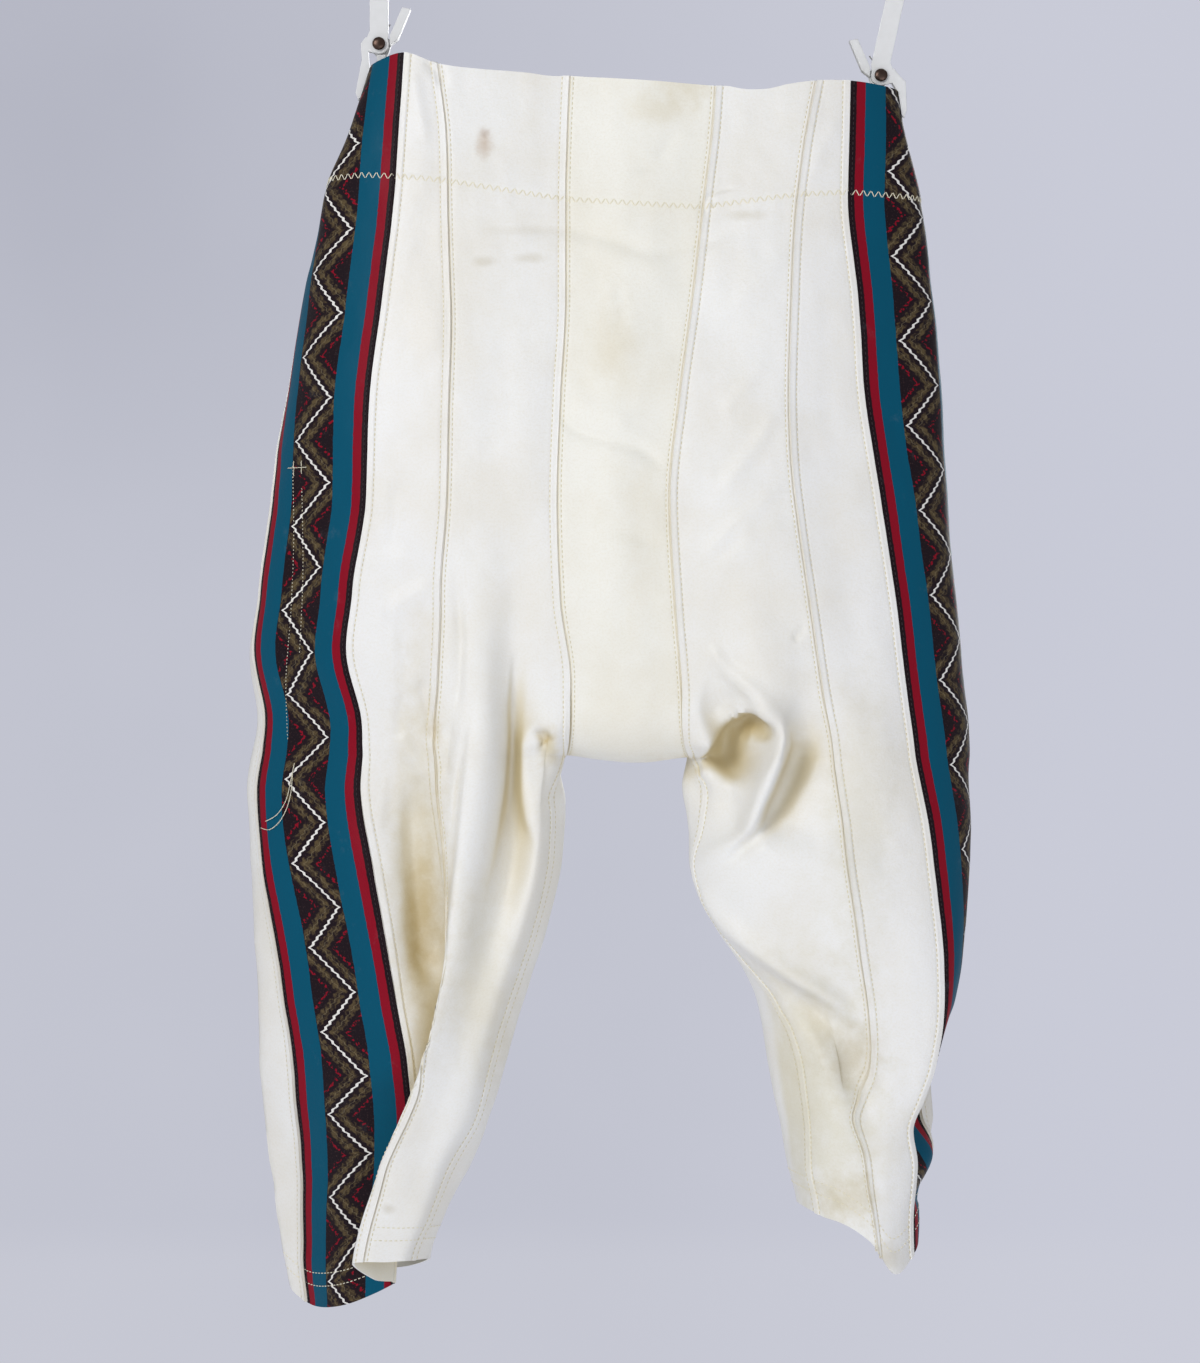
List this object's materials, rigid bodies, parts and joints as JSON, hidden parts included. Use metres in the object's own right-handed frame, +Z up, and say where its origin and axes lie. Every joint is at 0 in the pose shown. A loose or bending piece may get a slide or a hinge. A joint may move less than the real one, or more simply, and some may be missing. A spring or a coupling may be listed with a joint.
{
  "type": "football pants on a clip hanger",
  "caption": "Knee-length stretch satin football pants with patterned side stripes, hanging by the waist from a plastic clip hanger.",
  "frame": {"origin": "inside top of the hanger's hook, where a rail carries it", "axes": "+Z up; +X to the right seen from behind the pants; the seat faces -Y and the front faces +Y"},
  "size_m": [0.4332, 0.1171, 0.9008],
  "materials": {
    "white_satin": "off-white stretch satin with a soft sheen",
    "cream_satin": "creamier, duller stretch satin",
    "stripe_fabric": "printed satin stripe in black, red, teal and a brown print",
    "white_plastic": "moulded white plastic",
    "rivet_steel": "dull steel rivet"
  },
  "bodies": {
    "root": {"back_inner_left": "white_satin", "back_outer_left": "white_satin", "side_stripe_left": "stripe_fabric", "front_left": "white_satin", "back_inner_right": "white_satin", "back_outer_right": "white_satin", "side_stripe_right": "stripe_fabric", "front_right": "white_satin", "centre_panel_back": "cream_satin", "centre_panel_front": "cream_satin", "hanger_hook": "white_plastic", "hanger_bar": "white_plastic", "clip_outer_arm_left": "white_plastic", "clip_inner_arm_left": "white_plastic", "clip_pin_left": "rivet_steel", "clip_outer_arm_right": "white_plastic", "clip_inner_arm_right": "white_plastic", "clip_pin_right": "rivet_steel"}
  },
  "joints": []
}
